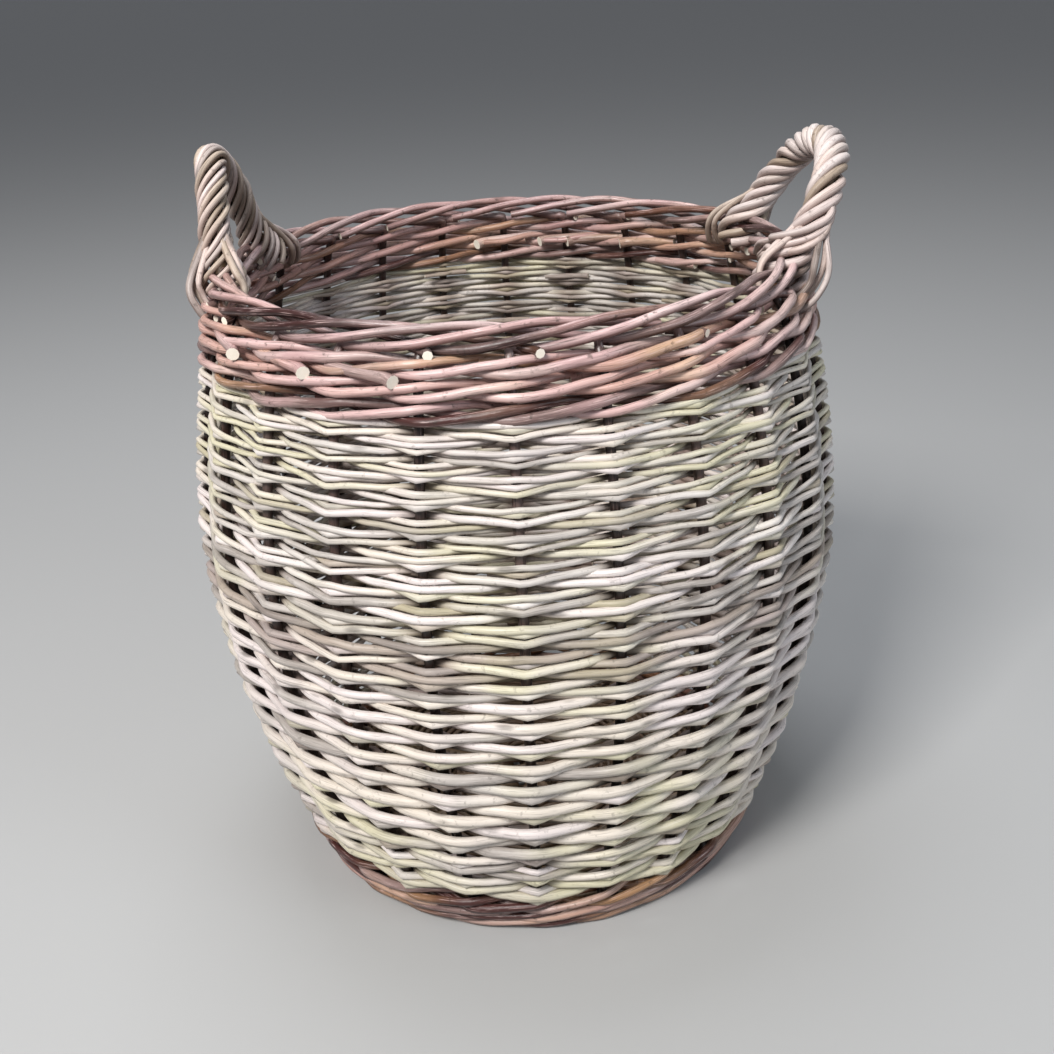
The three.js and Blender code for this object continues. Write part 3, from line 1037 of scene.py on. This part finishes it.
def stakes():
    dice = random.Random(24)
    faces = 0
    for k in range(STAKES):
        azimuth = k * BAY
        line = stake_path(azimuth, dice)
        count = len(line)
        radii = [STAKE_BUTT - (STAKE_BUTT - STAKE_TIP) * min(1.0, 1.5 * i / count) for i in range(count)]
        paths = [(line, radii, dice.random())]
        if dice.random() < 0.7:
            points, thick = stub(azimuth + dice.uniform(0.0, 0.09), dice)
            paths.append((points, thick, dice.random()))
        piece = rods_along(f"stake_rod_{k + 1:02d}", paths, BORDER_WILLOW, 8, 0.05, float(k), SHADE_LEVEL)
        faces += fit(piece, "stake", f"stake_{k + 1:02d}")
    print("stakes:", STAKES, "with", faces, "faces")


stakes()

# %% [markdown]
# Where three new rods join the top wale, their thick butts are left showing on the outside, cut on a
# slant. They are short rods laid among the others with the cut turned outwards.


# %% Butts of the wale
# Azimuth in degrees, and 1 on the outside of the wall or -1 on the inside.
BUTT_PLACES = ((-52, 1), (-34, 1), (-18, 1), (131, 1), (150, -1), (164, -1), (171, -1), (187, -1))
# Along the round, away from the wall and up, in mm. The last point is the middle of the cut.
BUTT_LINE = ((-46, -4.0, 4), (-30, -1.0, 3), (-16, 0.5, 2), (-6, 1.5, 1), (0, 5.0, 0))
# For each side, the height of the cut and its depth under the wall's outside, in metres.
BUTT_SIDES = {1: (0.4160, 0.0025), -1: (0.408, 0.0170)}


def wale_butts():
    dice = random.Random(3)
    paths = []
    for degrees, side in BUTT_PLACES:
        azimuth = math.radians(degrees)
        level, depth = BUTT_SIDES[side]
        shell = outside(level) - depth
        line = []
        for along, away, up in BUTT_LINE:
            line.append(polar(shell + side * away * MM, azimuth + along * MM / shell, level + up * MM))
        line = smooth_line(line, 4)
        last = len(line) - 1
        radii = [(3.0 + 1.1 * (i / last) ** 2) * MM for i in range(last + 1)]
        paths.append((line, radii, 0.35 + 0.3 * dice.random()))
    piece = rods_along("wale_butts", paths, BROWN_WILLOW, 10)
    print("wale butts:", fit(piece, "wale"), "faces")


wale_butts()

# %% [markdown]
# ## The base
#
# Three thick sticks are slit in the middle and three thinner ones pushed through them. The twelve ends
# are fanned out like spokes and woven over and under, round after round, out to the edge. The weave tree
# does this too: its swing is tilted until it points up instead of out.


# %% Base sticks
BASE_LEVEL = 0.011
STICK_REACH = 0.155
SLIT_SPACING, SLIT_CROSS = 13.4 * MM, 23 * MM
THROUGH_SPACING, THROUGH_CROSS = 8 * MM, 25 * MM


def stick_line(side, spacing, cross, swap):
    """Centre line of a base stick, parallel in the cross and then fanned out."""
    fan = side * math.pi / 6
    half = [(cross, side * spacing), (STICK_REACH * math.cos(fan), STICK_REACH * math.sin(fan))]
    line = [(-a, b) for a, b in reversed(half)] + half
    turn = Matrix.Rotation(BAY / 2, 3, "Z")
    return [turn @ Vector((b, a, BASE_LEVEL) if swap else (a, b, BASE_LEVEL)) for a, b in line]


def slit_stick(side, dice):
    """Two thick ends, joined by the two halves that bow round the sticks pushed through."""
    line = stick_line(side, SLIT_SPACING, SLIT_CROSS, False)
    middle = line[1].lerp(line[2], 0.5)
    along = (line[2] - line[1]).normalized()
    paths = []
    for tip, shoulder, sign in ((line[0], line[1], -1), (line[3], line[2], 1)):
        throat = middle + along * sign * 0.013
        radii = [6.2 * MM, 6.4 * MM, 6.2 * MM, 3.0 * MM]
        paths.append(([tip, tip.lerp(shoulder, 0.5), shoulder, throat], radii, dice.random()))
    for lift in (-1, 1):
        half = []
        for i in range(13):
            t = i / 6 - 1
            bow = (1 - t * t) ** 0.5 if abs(t) < 1 else 0.0
            half.append(middle + along * 0.030 * t + Vector((0, 0, lift * (0.002 + 0.0035 * bow))))
        paths.append((half, [2.7 * MM] * 13, dice.random()))
    piece = rods_along(f"slit_stick_{side + 2}", paths, STICK_WILLOW, 12)
    fit(piece, "stick", f"base_slit_stick_{side + 2}")


def through_stick(side, dice):
    line = smooth_line(stick_line(side, THROUGH_SPACING, THROUGH_CROSS, True), 4)
    paths = [(line, [3.6 * MM] * len(line), dice.random())]
    piece = rods_along(f"through_stick_{side + 2}", paths, STICK_WILLOW, 10)
    fit(piece, "stick", f"base_through_stick_{side + 2}")


base_dice = random.Random(6)
for stick in (-1, 0, 1):
    slit_stick(stick, base_dice)
    through_stick(stick, base_dice)
print("base sticks: 3 slit and 3 pushed through, out to", STICK_REACH, "m")


# %% Base rounds
FIRST_ROUND, LAST_ROUND, ROUND_PITCH = 33.5 * MM, 163 * MM, 3.1 * MM


def base_rounds(dice):
    rods = no_rods()
    ring, count = FIRST_ROUND, 0
    while ring < LAST_ROUND:
        add_rod(
            rods,
            level=BASE_LEVEL,
            ring=ring,
            start=0.5 + (count % 2) + 2 * dice.randrange(6),
            thick=dice.uniform(2.0, 2.5) * MM,
            rod=dice.random(),
            # The whole base is marked for painted shade.
            dusk=0.35,
        )
        ring += ROUND_PITCH
        count += 1
    piece = woven(
        "base_rounds", rods, Bark=STICK_WILLOW, Stakes=12, Swing=5.6 * MM, Swing_tilt=math.pi / 2,
        Spread=0.0, Inner_side=0.0, Steps=145, Sides=6, Wobble=0.0005,
    )
    print("base:", count, "rounds,", fit(piece, "base", "base_weave"), "faces")


base_rounds(base_dice)

# %% [markdown]
# ## The handles
#
# Each handle starts as a stiff bow. Thin rods are twisted round it like the strands of a rope, and at
# each foot they spread to both sides of the border. The rope tree copies the bow's line once for each
# strand, moves each copy out from the line, and turns it about the line as it goes along.

# %% The rope tree
ROPE_STEPS = 110

rope_tree, rope, rope_out = new_tree(
    "twisted rope",
    "GeometryNodeTree",
    [
        ("Path", "Geometry", None),
        ("Strands", "Int", 7),
        ("Lay radius", "Float", 0.0078),
        ("Strand thickness", "Float", 0.0032),
        ("Turns per metre", "Float", 15.0),
        ("Flare", "Float", 0.006),
        ("Seed", "Int", 0),
        ("Sides", "Int", 8),
        ("Bark", "Material", None),
        ("Cut end", "Material", None),
    ],
    [("Geometry", "Geometry")],
)


def build_rope():
    tree = rope_tree
    line = node_in(tree, "GeometryNodeMeshToCurve", {"Mesh": rope["Path"]})
    fine = node_in(tree, "GeometryNodeResampleCurve", {"Curve": line.outputs[0], "Count": ROPE_STEPS})
    copies = node_in(
        tree, "GeometryNodeDuplicateElements", {"Geometry": fine.outputs[0], "Amount": rope["Strands"]},
        domain="SPLINE",
    )
    strands, number = captured(tree, copies.outputs[0], "INT", copies.outputs["Duplicate Index"])
    spline = node_in(tree, "GeometryNodeSplineParameter")
    whole = field_in(tree, "GeometryNodeSplineLength", output="Length")
    share, length = Field(tree, spline.outputs["Factor"]), Field(tree, spline.outputs["Length"])
    to_end = (share - 0.5).math("ABSOLUTE") * -1.0 + 0.5
    foot = step(tree, to_end * whole, 0.034, 0.008)
    jitter = node_in(tree, "FunctionNodeRandomValue", {"ID": number, "Seed": rope["Seed"]})
    loose = node_in(tree, "FunctionNodeRandomValue", {"ID": number, "Seed": rope["Seed"] + 7})
    own, other = Field(tree, jitter.outputs[1]), Field(tree, loose.outputs[1])
    angle = ((number + own * 0.3) / rope["Strands"] + length * rope["Turns per metre"]) * (2 * math.pi)
    away = rope["Lay radius"] * ((other - 0.5) * 0.22 + 1.0) + rope["Flare"] * foot
    normal = node_in(tree, "GeometryNodeInputNormal").outputs[0]
    tangent = node_in(tree, "GeometryNodeInputTangent").outputs[0]
    across = vector_math(tree, "CROSS_PRODUCT", tangent, normal)
    one = vector_scale(tree, normal, angle.cos() * away)
    two = vector_scale(tree, across, angle.sin() * away)
    moved = node_in(
        tree, "GeometryNodeSetPosition", {"Geometry": strands, "Offset": vector_math(tree, "ADD", one, two)}
    )
    kept = stored(tree, moved.outputs[0], "rod", "FLOAT", own)
    surface = node_in(tree, "GeometryNodeGroup", node_tree=rod_group)
    plug(tree, kept, surface.inputs["Curve"])
    plug(tree, rope["Strand thickness"] * (other * 0.3 + 0.84), surface.inputs["Thickness"])
    for label in ("Sides", "Bark", "Cut end"):
        plug(tree, rope[label], surface.inputs[label])
    plug(tree, surface.outputs[0], rope_out.inputs["Geometry"])
    print("rope tree:", len(tree.nodes), "nodes")


build_rope()


# %% [markdown]
# ## The shape of a handle
#
# The bow is half a sine arch seen from outside, and it leans outwards as it climbs. The right one stays
# wide and round. The legs of the left one are pinched together, which is easily done while the rods are
# still wet. Both need only a few numbers, so one function draws them.

# %% Bows
# The middle and half the spread of the feet are in degrees round the rim. The peak is the radius of the
# highest point and the climb its height over the rim, in metres. A low shoulder makes the arch rounder,
# and the pinch draws the legs together towards the top.
HANDLES = {
    "right": dict(middle=91.5, half_spread=20.0, peak=0.217, climb=0.0565, shoulder=0.72, pinch=0.0),
    "left": dict(middle=-97.5, half_spread=13.5, peak=0.196, climb=0.062, shoulder=0.92, pinch=0.5),
}


def handle_points(side, start, steps):
    """Points on the middle of the rope, from a height above the border's centre line."""
    shape = HANDLES[side]
    middle, shoulder = math.radians(shape["middle"]), shape["shoulder"]
    peak, pinch = shape["peak"], shape["pinch"]
    spread = math.radians(shape["half_spread"]) * (1 if middle > 0 else -1)
    out, across = polar(1, middle, 0), polar(1, middle + math.pi / 2, 0)
    foot, half = BORDER_RING * math.cos(spread), BORDER_RING * math.sin(spread)
    rise = RIM + shape["climb"] - BORDER_LEVEL
    first = math.asin((start / rise) ** (1 / shoulder))
    points = []
    for i in range(steps + 1):
        a = first + (math.pi - 2 * first) * i / steps
        climb = math.sin(a) ** shoulder
        along = -half * math.cos(a) * (1 - pinch * climb)
        radius = foot + (peak - foot) * climb
        points.append(out * radius + across * along + Vector((0, 0, BORDER_LEVEL + rise * climb)))
    return points


print("handle heights:", [round(max(p.z for p in handle_points(side, 0.001, 60)), 3) for side in HANDLES])

# %% [markdown]
# ## The rods that tie a handle down
#
# At each foot some rods leave the rope, go round the border and end in the wall. Each is a short list of
# places, first beside the leg and then round the border, and a smooth line through them.

# %% Straps
# First places beside the leg: height, outwards and along. Then places round the border: along it away
# from the other leg, outwards from it, and up. All in mm.
OUTER_LOOPS = (
    (
        ((40, 3, 0), (28, 9, 1)),
        ((5, 24, 6), (9, 20, -8), (12, 12, -19), (13, 2, -24)),
    ),
    (
        ((36, 4, -2), (24, 10, 2)),
        ((10, 27, 0), (16, 21, -15), (18, 11, -25), (19, 1, -28)),
    ),
    (
        ((34, 2, 3), (22, 8, 6)),
        ((13, 19, 5), (15, 17, -6), (17, 11, -15), (18, 2, -19)),
    ),
)
UNDER_LOOPS = (
    (
        ((38, -3, 2), (26, -9, 5)),
        ((14, -12, 8), (19, -13.5, -3), (22, -8, -13), (25, 2, -16), (28, 11, -15)),
    ),
    (
        ((34, -3, 3), (22, -7, 9)),
        ((20, -10, 10), (26, -13.5, 0), (30, -9, -12), (33, 2, -16), (36, 9, -16)),
    ),
)
LONG_STRANDS = (
    (
        ((40, 5, 0), (28, 11, 3), (20, 4, 12)),
        ((7, -7, 14), (-10, -13, 10), (-36, -15, 3), (-60, -15, -5), (-80, -10, -12)),
    ),
    (
        ((36, 6, 2), (22, 11, 6), (14, 3, 13)),
        ((3, -11, 9), (-12, -16, 4), (-34, -17, -3), (-54, -15, -10), (-68, -9, -16)),
    ),
    (
        ((42, 4, 3), (32, 9, 7), (25, -1, 12)),
        ((4, -8, 19), (-14, -10, 15), (-40, -12, 8), (-64, -14, 1), (-86, -11, -8)),
    ),
)
# The outer loops lie closer to the narrow left handle.
SNUG = {"right": 1.0, "left": 0.78}
# Each place round the border is moved a little at random, in mm.
LOOSENESS = 0.8


def leg_at(side, end, height):
    """The middle of a leg at a height over the border's centre line."""
    points = handle_points(side, 0.001, 200)
    leg = points[:100] if end == 0 else points[:100:-1]
    return min(leg, key=lambda p: abs(p.z - BORDER_LEVEL - height))


def strap_paths(side, end, dice):
    """The rods that go from one leg round the border: outside, under it, and along its inner edge."""
    middle, half_spread = HANDLES[side]["middle"], HANDLES[side]["half_spread"]
    way = (1 if end else -1) * (1 if middle > 0 else -1)
    foot = math.radians(middle + way * half_spread)
    outwards, away = polar(1, foot, 0), polar(1, foot + math.pi / 2, 0) * way
    choice = [*OUTER_LOOPS, *UNDER_LOOPS]
    if side == "right" and end == 0:
        choice += LONG_STRANDS
    paths = []
    for beside_leg, round_border in choice:
        line = []
        for height, out, along in beside_leg:
            out *= SNUG[side]
            line.append(leg_at(side, end, height * MM) + outwards * out * MM + away * along * MM)
        for along, out, up in round_border:
            out *= SNUG[side] if out > 0 else 1.0
            shift = [dice.uniform(-LOOSENESS, LOOSENESS) for _ in range(3)]
            azimuth = foot + way * (along + shift[1]) * MM / BORDER_RING
            radius = BORDER_RING + (out + shift[0]) * MM
            line.append(polar(radius, azimuth, BORDER_LEVEL + (up + shift[2]) * MM))
        line = smooth_line(line, 6)
        paths.append((line, [dice.uniform(2.0, 2.7) * MM] * len(line), dice.random()))
    return paths


print("rods at a foot:", len(OUTER_LOOPS) + len(UNDER_LOOPS), "and", len(LONG_STRANDS), "long ones at one")

# %% [markdown]
# The right handle is laid up from six stout rods, and the left one from nine thin ones. Both hide the
# stiff bow that they are wound on.

# %% Handles
BOW_RADIUS = 5.0 * MM
ROPES = {
    "right": {"Strands": 6, "Strand_thickness": 3.15 * MM, "Seed": 3},
    "left": {"Strands": 9, "Strand_thickness": 2.05 * MM, "Lay_radius": 8.8 * MM, "Seed": 8},
}


def bow_and_rope(side):
    bow = handle_points(side, 0.004, 40)
    paths = [(bow, [BOW_RADIUS] * len(bow), 0.3)]
    # The bow is hidden in the rope and is marked for painted shade all along.
    piece = rods_along(f"handle_{side}_bow_rod", paths, STICK_WILLOW, 8, shade_below=1.0)
    fit(piece, "stick", f"handle_{side}_bow")
    line = handle_points(side, 0.001, 60)
    line = [line[0] * 2 - line[2], *line, line[-1] * 2 - line[-3]]
    edges = [(i, i + 1) for i in range(len(line) - 1)]
    piece = grown(
        carrier(f"handle_{side}_rope_rods", line, edges), rope_tree,
        Bark=HANDLE_WILLOW, Cut_end=CUT_WILLOW, **ROPES[side],
    )
    print(side, "rope:", fit(piece, "handle", f"handle_{side}_rope"), "faces")


def handles():
    dice = random.Random(11)
    for side in HANDLES:
        bow_and_rope(side)
        for end, label in enumerate(("front", "back")):
            paths = strap_paths(side, end, dice)
            piece = rods_along(f"handle_{side}_strap_{label}_rods", paths, HANDLE_WILLOW)
            fit(piece, "handle", f"handle_{side}_strap_{label}")


handles()
